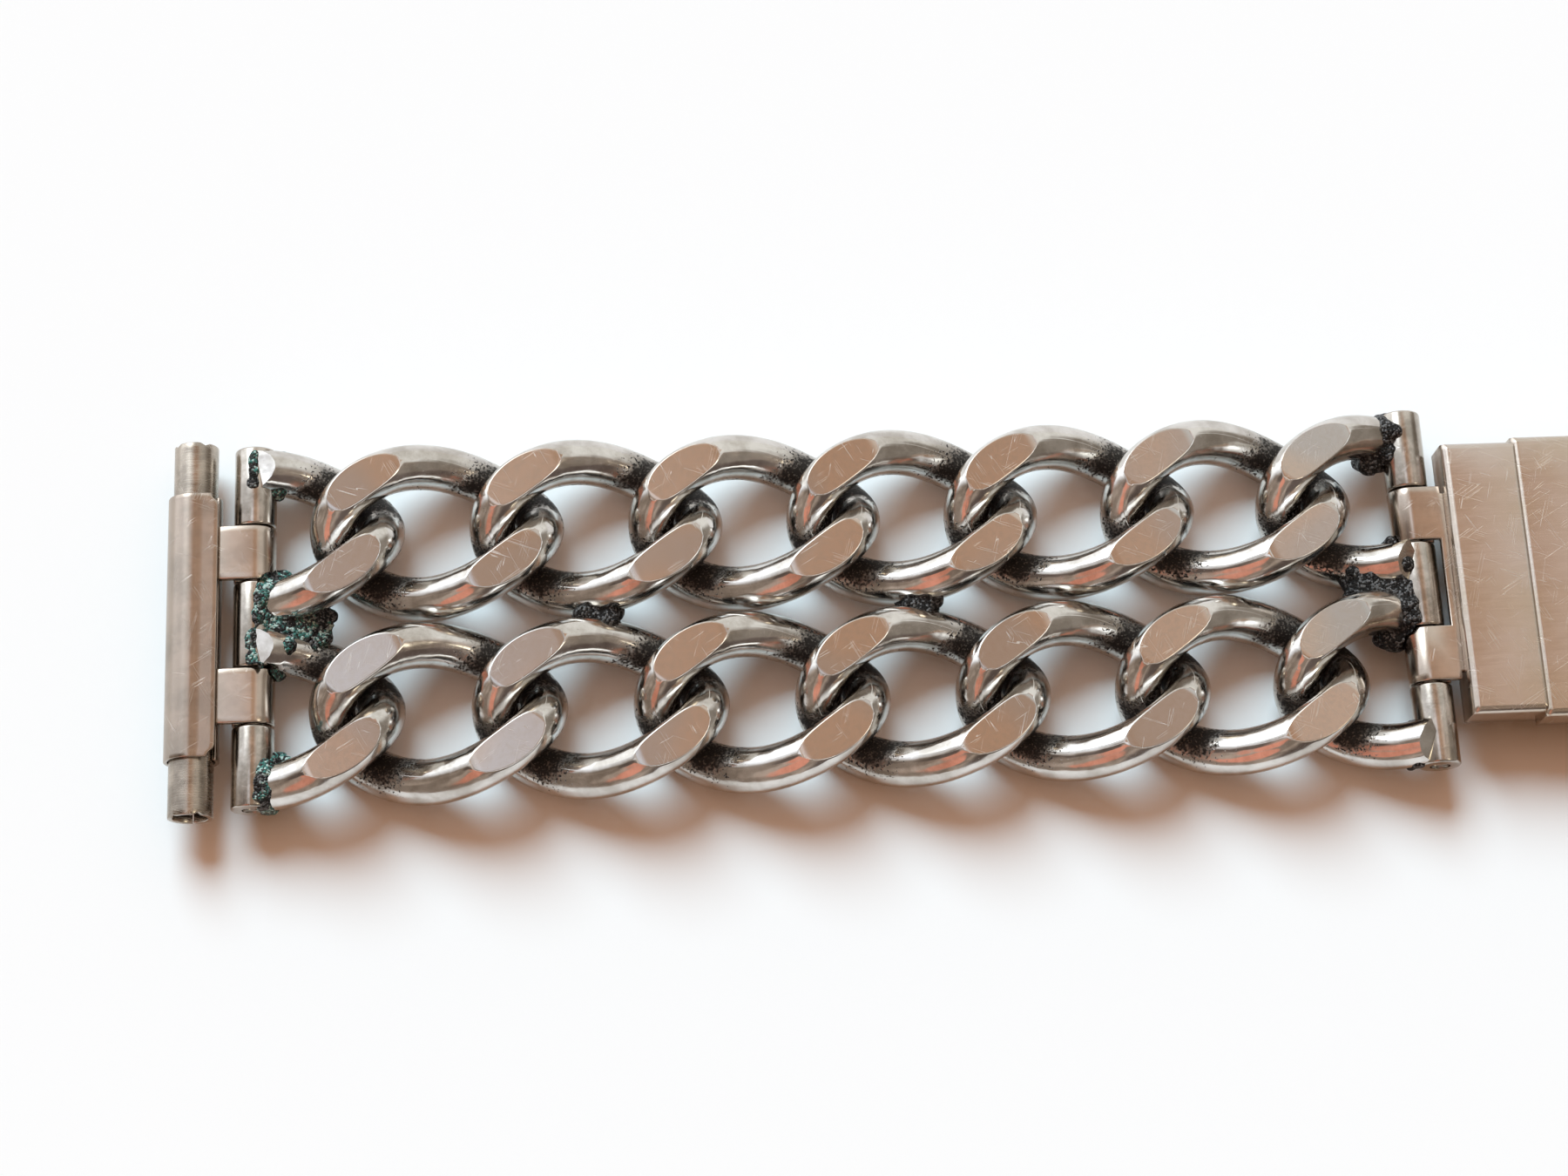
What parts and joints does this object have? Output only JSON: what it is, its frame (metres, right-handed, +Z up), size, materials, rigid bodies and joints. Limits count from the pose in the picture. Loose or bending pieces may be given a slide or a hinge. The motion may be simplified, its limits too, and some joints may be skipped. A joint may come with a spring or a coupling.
{
  "type": "expansion watch band",
  "caption": "Expansion watch band: two rows of flat curb chain on each side of a spring-loaded folding link section, hinged to telescoping tube ends.",
  "frame": {"origin": "on the surface that the band lies on, under the middle of its box and of the expansion section", "axes": "+X along the band, from the chain half that the picture shows towards the expansion section and on; +Y across the band, to the picture's top; +Z up, away from the wrist"},
  "size_m": [0.1514, 0.0192, 0.0041],
  "materials": {
    "polished_link": "polished steel wire with ground faces, dark in the recesses",
    "soldered_knuckle": "dull steel with dark solder and a trace of verdigris",
    "bright_pin": "drawn steel",
    "satin_sheet": "satin folded sheet, lightly worn",
    "tarnished_tube": "tarnished rolled tube",
    "brushed_cover": "brushed across the band, scratched",
    "lower_link": "plain rolled strip",
    "spring_steel": "blued-grey spring strip"
  },
  "bodies": {
    "centre": {"centre_cover": "brushed_cover", "centre_cover_spring": "spring_steel"},
    "right_inner_lower": {"right_inner_lower_link": "lower_link", "right_inner_lower_spring": "spring_steel"},
    "right_inner_cover": {"right_inner_cover": "brushed_cover", "right_inner_cover_spring": "spring_steel"},
    "right_outer_lower": {"right_outer_lower_link": "lower_link", "right_outer_lower_spring": "spring_steel"},
    "right_end_cover": {"right_end_cover": "brushed_cover", "right_end_cover_spring": "spring_steel", "right_hinge_leaf": "satin_sheet"},
    "right_staples_1": {"right_staples_1": "bright_pin"},
    "right_staples_2": {"right_staples_2": "bright_pin"},
    "right_staples_3": {"right_staples_3": "bright_pin"},
    "right_staples_4": {"right_staples_4": "bright_pin"},
    "right_centre_end": {"right_centre_half_links": "polished_link", "right_centre_knuckles": "soldered_knuckle", "right_centre_pin": "bright_pin"},
    "right_links_6": {"right_links_6": "polished_link"},
    "right_links_5": {"right_links_5": "polished_link"},
    "right_links_4": {"right_links_4": "polished_link"},
    "right_links_3": {"right_links_3": "polished_link"},
    "right_links_2": {"right_links_2": "polished_link"},
    "right_links_1": {"right_links_1": "polished_link"},
    "right_watch_end": {"right_watch_half_links": "polished_link", "right_watch_knuckles": "soldered_knuckle", "right_watch_pin": "bright_pin"},
    "right_sleeve": {"right_end_sleeve": "satin_sheet"},
    "right_tube_back": {"right_tube_back": "tarnished_tube"},
    "right_tube_front": {"right_tube_front": "tarnished_tube"},
    "left_inner_lower": {"left_inner_lower_link": "lower_link", "left_inner_lower_spring": "spring_steel"},
    "left_inner_cover": {"left_inner_cover": "brushed_cover", "left_inner_cover_spring": "spring_steel"},
    "left_outer_lower": {"left_outer_lower_link": "lower_link", "left_outer_lower_spring": "spring_steel"},
    "left_end_cover": {"left_end_cover": "brushed_cover", "left_end_cover_spring": "spring_steel", "left_hinge_leaf": "satin_sheet"},
    "left_staples_1": {"left_staples_1": "bright_pin"},
    "left_staples_2": {"left_staples_2": "bright_pin"},
    "left_staples_3": {"left_staples_3": "bright_pin"},
    "left_staples_4": {"left_staples_4": "bright_pin"},
    "left_centre_end": {"left_centre_half_links": "polished_link", "left_centre_knuckles": "soldered_knuckle", "left_centre_pin": "bright_pin"},
    "left_links_6": {"left_links_6": "polished_link"},
    "left_links_5": {"left_links_5": "polished_link"},
    "left_links_4": {"left_links_4": "polished_link"},
    "left_links_3": {"left_links_3": "polished_link"},
    "left_links_2": {"left_links_2": "polished_link"},
    "left_links_1": {"left_links_1": "polished_link"},
    "left_watch_end": {"left_watch_half_links": "polished_link", "left_watch_knuckles": "soldered_knuckle", "left_watch_pin": "bright_pin"},
    "left_sleeve": {"left_end_sleeve": "satin_sheet"},
    "left_tube_back": {"left_tube_back": "tarnished_tube"},
    "left_tube_front": {"left_tube_front": "tarnished_tube"}
  },
  "joints": [
    {"name": "expansion", "type": "slide", "parent": "centre", "child": "right_inner_lower", "axis": [1, 0, 0], "range_m": [0, 0.0015], "stiffness_N_per_m": 1000, "deforming": ["centre_cover_spring", "left_end_cover_spring", "left_inner_cover_spring", "left_inner_lower_spring", "left_outer_lower_spring", "right_end_cover_spring", "right_inner_cover_spring", "right_inner_lower_spring", "right_outer_lower_spring"]},
    {"name": "right_slide_2", "type": "slide", "parent": "right_inner_lower", "child": "right_inner_cover", "axis": [1, 0, 0], "range_m": [0, 0.0015]},
    {"name": "right_slide_3", "type": "slide", "parent": "right_inner_cover", "child": "right_outer_lower", "axis": [1, 0, 0], "range_m": [0, 0.0015]},
    {"name": "right_slide_4", "type": "slide", "parent": "right_outer_lower", "child": "right_end_cover", "axis": [1, 0, 0], "range_m": [0, 0.0015]},
    {"name": "right_staple_tilt_1", "type": "hinge", "parent": "centre", "child": "right_staples_1", "pos_m": [0.00125, 0, 0.00297], "axis": [0, -1, 0], "range_deg": [0, 38.16]},
    {"name": "right_staple_tilt_2", "type": "hinge", "parent": "right_inner_lower", "child": "right_staples_2", "pos_m": [0.00375, 0, 0.00053], "axis": [0, 1, 0], "range_deg": [0, 38.16]},
    {"name": "right_staple_tilt_3", "type": "hinge", "parent": "right_inner_cover", "child": "right_staples_3", "pos_m": [0.00625, 0, 0.00297], "axis": [0, -1, 0], "range_deg": [0, 38.16]},
    {"name": "right_staple_tilt_4", "type": "hinge", "parent": "right_outer_lower", "child": "right_staples_4", "pos_m": [0.00875, 0, 0.00053], "axis": [0, 1, 0], "range_deg": [0, 38.16]},
    {"name": "right_centre_hinge", "type": "hinge", "parent": "right_end_cover", "child": "right_centre_end", "pos_m": [0.01275, 0, 0.00205], "axis": [0, 1, 0], "range_deg": [-60, 60]},
    {"name": "right_chain_bend_6", "type": "hinge", "parent": "right_centre_end", "child": "right_links_6", "pos_m": [0.01825, 0, 0.00205], "axis": [0, 1, 0], "range_deg": [-20, 20]},
    {"name": "right_chain_bend_5", "type": "hinge", "parent": "right_links_6", "child": "right_links_5", "pos_m": [0.02625, 0, 0.00205], "axis": [0, 1, 0], "range_deg": [-20, 20]},
    {"name": "right_chain_bend_4", "type": "hinge", "parent": "right_links_5", "child": "right_links_4", "pos_m": [0.03425, 0, 0.00205], "axis": [0, 1, 0], "range_deg": [-20, 20]},
    {"name": "right_chain_bend_3", "type": "hinge", "parent": "right_links_4", "child": "right_links_3", "pos_m": [0.04225, 0, 0.00205], "axis": [0, 1, 0], "range_deg": [-20, 20]},
    {"name": "right_chain_bend_2", "type": "hinge", "parent": "right_links_3", "child": "right_links_2", "pos_m": [0.05025, 0, 0.00205], "axis": [0, 1, 0], "range_deg": [-20, 20]},
    {"name": "right_chain_bend_1", "type": "hinge", "parent": "right_links_2", "child": "right_links_1", "pos_m": [0.05825, 0, 0.00205], "axis": [0, 1, 0], "range_deg": [-20, 20]},
    {"name": "right_chain_bend_0", "type": "hinge", "parent": "right_links_1", "child": "right_watch_end", "pos_m": [0.06625, 0, 0.00205], "axis": [0, 1, 0], "range_deg": [-20, 20]},
    {"name": "right_watch_hinge", "type": "hinge", "parent": "right_watch_end", "child": "right_sleeve", "pos_m": [0.07135, 0, 0.00205], "axis": [0, 1, 0], "range_deg": [-60, 60]},
    {"name": "right_tube_slide_back", "type": "slide", "parent": "right_sleeve", "child": "right_tube_back", "axis": [0, 1, 0], "range_m": [-0.0016, 0.0015]},
    {"name": "right_tube_slide_front", "type": "slide", "parent": "right_sleeve", "child": "right_tube_front", "axis": [0, -1, 0], "range_m": [-0.0016, 0.0015]},
    {"name": "left_slide_1", "type": "slide", "parent": "centre", "child": "left_inner_lower", "axis": [-1, 0, 0], "range_m": [0, 0.0015]},
    {"name": "left_slide_2", "type": "slide", "parent": "left_inner_lower", "child": "left_inner_cover", "axis": [-1, 0, 0], "range_m": [0, 0.0015]},
    {"name": "left_slide_3", "type": "slide", "parent": "left_inner_cover", "child": "left_outer_lower", "axis": [-1, 0, 0], "range_m": [0, 0.0015]},
    {"name": "left_slide_4", "type": "slide", "parent": "left_outer_lower", "child": "left_end_cover", "axis": [-1, 0, 0], "range_m": [0, 0.0015]},
    {"name": "left_staple_tilt_1", "type": "hinge", "parent": "centre", "child": "left_staples_1", "pos_m": [-0.00125, 0, 0.00297], "axis": [0, 1, 0], "range_deg": [0, 38.16]},
    {"name": "left_staple_tilt_2", "type": "hinge", "parent": "left_inner_lower", "child": "left_staples_2", "pos_m": [-0.00375, 0, 0.00053], "axis": [0, -1, 0], "range_deg": [0, 38.16]},
    {"name": "left_staple_tilt_3", "type": "hinge", "parent": "left_inner_cover", "child": "left_staples_3", "pos_m": [-0.00625, 0, 0.00297], "axis": [0, 1, 0], "range_deg": [0, 38.16]},
    {"name": "left_staple_tilt_4", "type": "hinge", "parent": "left_outer_lower", "child": "left_staples_4", "pos_m": [-0.00875, 0, 0.00053], "axis": [0, -1, 0], "range_deg": [0, 38.16]},
    {"name": "left_centre_hinge", "type": "hinge", "parent": "left_end_cover", "child": "left_centre_end", "pos_m": [-0.01275, 0, 0.00205], "axis": [0, 1, 0], "range_deg": [-60, 60]},
    {"name": "left_chain_bend_6", "type": "hinge", "parent": "left_centre_end", "child": "left_links_6", "pos_m": [-0.01825, 0, 0.00205], "axis": [0, 1, 0], "range_deg": [-20, 20]},
    {"name": "left_chain_bend_5", "type": "hinge", "parent": "left_links_6", "child": "left_links_5", "pos_m": [-0.02625, 0, 0.00205], "axis": [0, 1, 0], "range_deg": [-20, 20]},
    {"name": "left_chain_bend_4", "type": "hinge", "parent": "left_links_5", "child": "left_links_4", "pos_m": [-0.03425, 0, 0.00205], "axis": [0, 1, 0], "range_deg": [-20, 20]},
    {"name": "left_chain_bend_3", "type": "hinge", "parent": "left_links_4", "child": "left_links_3", "pos_m": [-0.04225, 0, 0.00205], "axis": [0, 1, 0], "range_deg": [-20, 20]},
    {"name": "left_chain_bend_2", "type": "hinge", "parent": "left_links_3", "child": "left_links_2", "pos_m": [-0.05025, 0, 0.00205], "axis": [0, 1, 0], "range_deg": [-20, 20]},
    {"name": "left_chain_bend_1", "type": "hinge", "parent": "left_links_2", "child": "left_links_1", "pos_m": [-0.05825, 0, 0.00205], "axis": [0, 1, 0], "range_deg": [-20, 20]},
    {"name": "left_chain_bend_0", "type": "hinge", "parent": "left_links_1", "child": "left_watch_end", "pos_m": [-0.06625, 0, 0.00205], "axis": [0, 1, 0], "range_deg": [-20, 20]},
    {"name": "left_watch_hinge", "type": "hinge", "parent": "left_watch_end", "child": "left_sleeve", "pos_m": [-0.07135, 0, 0.00205], "axis": [0, 1, 0], "range_deg": [-60, 60]},
    {"name": "left_tube_slide_back", "type": "slide", "parent": "left_sleeve", "child": "left_tube_back", "axis": [0, 1, 0], "range_m": [-0.0016, 0.0015]},
    {"name": "left_tube_slide_front", "type": "slide", "parent": "left_sleeve", "child": "left_tube_front", "axis": [0, -1, 0], "range_m": [-0.0016, 0.0015]}
  ],
  "couplings": [
    {"joint": "right_slide_2", "follows": "expansion", "ratio": 1},
    {"joint": "right_slide_3", "follows": "expansion", "ratio": 1},
    {"joint": "right_slide_4", "follows": "expansion", "ratio": 1},
    {"joint": "right_staple_tilt_1", "follows": "expansion", "rad_per_m": 442.9},
    {"joint": "right_staple_tilt_2", "follows": "expansion", "rad_per_m": 442.9},
    {"joint": "right_staple_tilt_3", "follows": "expansion", "rad_per_m": 442.9},
    {"joint": "right_staple_tilt_4", "follows": "expansion", "rad_per_m": 442.9},
    {"joint": "left_slide_1", "follows": "expansion", "ratio": 1},
    {"joint": "left_slide_2", "follows": "expansion", "ratio": 1},
    {"joint": "left_slide_3", "follows": "expansion", "ratio": 1},
    {"joint": "left_slide_4", "follows": "expansion", "ratio": 1},
    {"joint": "left_staple_tilt_1", "follows": "expansion", "rad_per_m": 442.9},
    {"joint": "left_staple_tilt_2", "follows": "expansion", "rad_per_m": 442.9},
    {"joint": "left_staple_tilt_3", "follows": "expansion", "rad_per_m": 442.9},
    {"joint": "left_staple_tilt_4", "follows": "expansion", "rad_per_m": 442.9}
  ]
}
